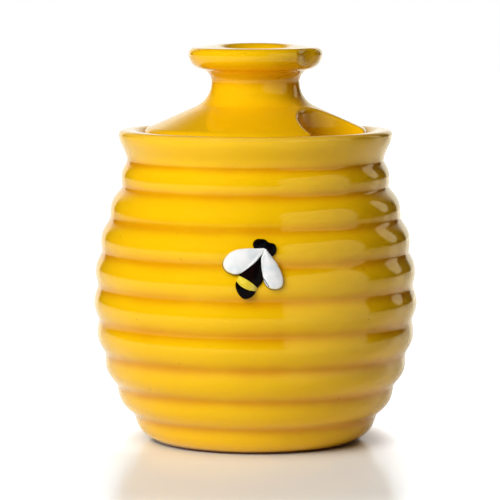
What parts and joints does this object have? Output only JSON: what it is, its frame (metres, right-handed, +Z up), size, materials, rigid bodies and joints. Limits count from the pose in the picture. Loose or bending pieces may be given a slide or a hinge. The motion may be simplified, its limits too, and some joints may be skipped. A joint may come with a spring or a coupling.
{
  "type": "honey pot",
  "caption": "Ribbed hive-shaped stoneware honey pot with a lift-off lid, notched for a dipper, and a bee in relief.",
  "frame": {"origin": "centre of the circle that the jar stands on, at table level", "axes": "+Z up along the jar's own axis, -Y out through the bee on the front, +X to the right as the bee is looked at"},
  "size_m": [0.104, 0.105, 0.1265],
  "materials": {
    "yellow_glaze": "gloss",
    "black_glaze": "gloss",
    "white_glaze": "gloss",
    "pale_yellow_glaze": "gloss"
  },
  "bodies": {
    "jar": {"jar": "yellow_glaze", "bee_head": "black_glaze", "bee_breast": "black_glaze", "bee_band": "pale_yellow_glaze", "bee_tail": "black_glaze", "bee_left_wing": "white_glaze", "bee_right_wing": "white_glaze"},
    "lid": {"lid": "yellow_glaze"}
  },
  "joints": [
    {"name": "lid_lift", "type": "slide", "parent": "jar", "child": "lid", "axis": [0, 0, 1], "range_m": [0, 0.06]}
  ]
}
